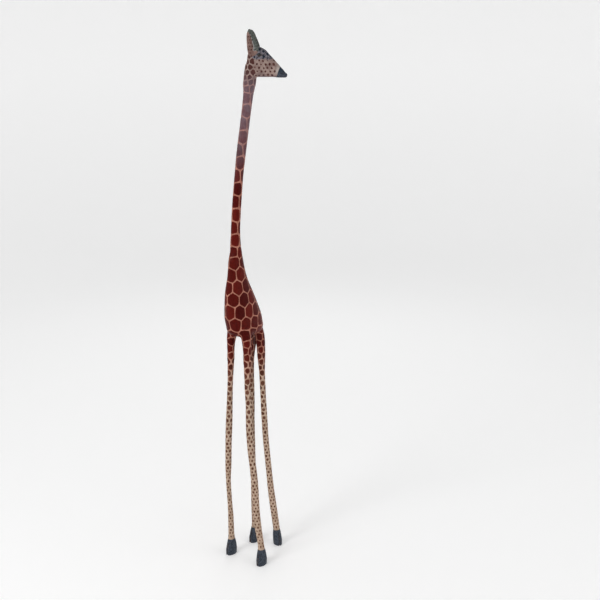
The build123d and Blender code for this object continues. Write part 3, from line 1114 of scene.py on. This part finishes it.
def build_large_pieces():
    """Body and head, with patches that run on across the joints."""
    parts, body_tree = model_body()
    parts["head"], head_tree = model_head()
    neck_rows = body_patches(body_tree)
    legs = {name: leg_patches(body_tree, name) for name in LEGS}
    head_rows = head_patches(head_tree)
    everything = np.vstack([neck_rows, head_rows, *legs.values()])
    for name, (points, faces) in parts.items():
        made = bpy.data.meshes.new(name)
        made.from_pydata(points, [], faces)
        obj = add_piece(f"carved_{name}", made)
        if name == "head":
            extra = {"brow": head_brow, "pale": head_pale, "eye": head_eye}
            paint_fields(obj, everything, head_dark, extra)
            dress(obj, "head_paint", name)
        elif name.startswith("leg_"):
            paint_fields(obj, legs[name[4:]], hoof_and_mane)
            dress(obj, "leg_paint", name)
        else:
            paint_fields(obj, everything, hoof_and_mane)
            dress(obj, "body_paint", name)


def build_ear(side, name):
    mesh = remeshed("ear_clay", [f"ear_{name}"], SMALL_VOXEL)
    carve_ear(mesh, side)
    obj = add_piece(f"carved_ear_{name}", mesh)
    built = bmesh.new()
    built.from_mesh(mesh)
    spots = ear_spots(side, BVHTree.FromBMesh(built))
    built.free()
    paint_fields(obj, spots, ear_dark(side), {"brow": ear_rim(side)})
    dress(obj, "ear_paint", f"ear_{name}")


def build_horn(side, name):
    mesh = remeshed("horn_clay", [f"horn_{name}"], SMALL_VOXEL)
    carve_horn(mesh, side)
    obj = add_piece(f"carved_horn_{name}", mesh)
    paint_fields(obj, None, lambda points: points[:, 2] - HORN_DARK * MM)
    dress(obj, "dark_paint", f"horn_{name}")


def build_tail():
    mesh = remeshed("tail_clay", ["tail"], SMALL_VOXEL)
    carve_tail(mesh)
    obj = add_piece("carved_tail", mesh)
    paint_fields(obj, None, lambda points: TUFT_TOP * MM - points[:, 2])
    dress(obj, "dark_paint", "tail")


def dress_dowels():
    for name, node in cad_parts.items():
        if name.endswith("_dowel"):
            node.data.materials.clear()
            node.data.materials.append(MATERIALS["dowel_wood"])


# --- Studio -----------------------------------------------------------------------------------
def build_floor():
    """A pale floor that turns up into a pale wall all round."""
    profile = [(radius, 0) for radius in FLOOR_RADII]
    for k in range(1, FLOOR_BEND_STEPS + 1):
        angle = pi / 2 * k / FLOOR_BEND_STEPS
        profile.append((FLOOR_RADII[-1] + FLOOR_BEND * sin(angle), FLOOR_BEND - FLOOR_BEND * cos(angle)))
    profile.append((FLOOR_RADII[-1] + FLOOR_BEND, WALL_TOP))
    turns = [tau * k / FLOOR_SIDES for k in range(FLOOR_SIDES)]
    points = [(r * cos(turn), r * sin(turn), z) for r, z in profile for turn in turns]
    faces = [list(range(FLOOR_SIDES))]
    for ring in range(len(profile) - 1):
        low = ring * FLOOR_SIDES
        high = low + FLOOR_SIDES
        for k in range(FLOOR_SIDES):
            after = (k + 1) % FLOOR_SIDES
            faces.append([high + k, high + after, low + after, low + k])
    mesh = bpy.data.meshes.new("floor")
    mesh.from_pydata(points, [], faces)
    mesh.shade_smooth()
    mesh.materials.append(plain("studio_floor", FLOOR_COLOUR, FLOOR_GLOW))
    floor = bpy.data.objects.new("studio_floor", mesh)
    SCENE.collection.objects.link(floor)
    floor.location.z = -FLOOR_DROP


def add_light(name, place, aim, size, power):
    """A round lamp that aims at a height on the middle axis."""
    data = bpy.data.lights.new(name, "AREA")
    data.shape = "DISK"
    data.size = size
    data.energy = power
    lamp = bpy.data.objects.new(name, data)
    SCENE.collection.objects.link(lamp)
    lamp.location = place
    way = Vector((0, 0, aim)) - Vector(place)
    lamp.rotation_euler = way.to_track_quat("-Z", "Y").to_euler()


def light_studio():
    world = bpy.data.worlds.new("studio")
    world.use_nodes = True
    background = world.node_tree.nodes["Background"]
    background.inputs["Color"].default_value = (1, 1, 1, 1)
    background.inputs["Strength"].default_value = WORLD_STRENGTH
    SCENE.world = world
    for name, settings in LAMPS.items():
        add_light(name, *settings)


def add_camera():
    """Level with the head, 2.5 m away, as a standing person would hold it."""
    feet = np.mean([middle_at(cad_points(f"leg_{name}"), 0, 0.5 * MM) for name in LEGS], axis=0)
    data = bpy.data.cameras.new("camera")
    data.sensor_width = 36
    data.lens = LENS
    camera = bpy.data.objects.new("camera", data)
    SCENE.collection.objects.link(camera)
    camera.location = np.array([*feet, EYE_LEVEL]) + DISTANCE * OUT + TO_RIGHT * ACROSS
    look = -OUT * cos(DIP) - np.array([0, 0, sin(DIP)])
    camera.rotation_euler = Vector(look).to_track_quat("-Z", "Y").to_euler()
    SCENE.camera = camera


build_large_pieces()
for ear_side, ear_name in ((-1, "right"), (1, "left")):
    build_ear(ear_side, ear_name)
    build_horn(ear_side, ear_name)
build_tail()
dress_dowels()
build_floor()
light_studio()
add_camera()
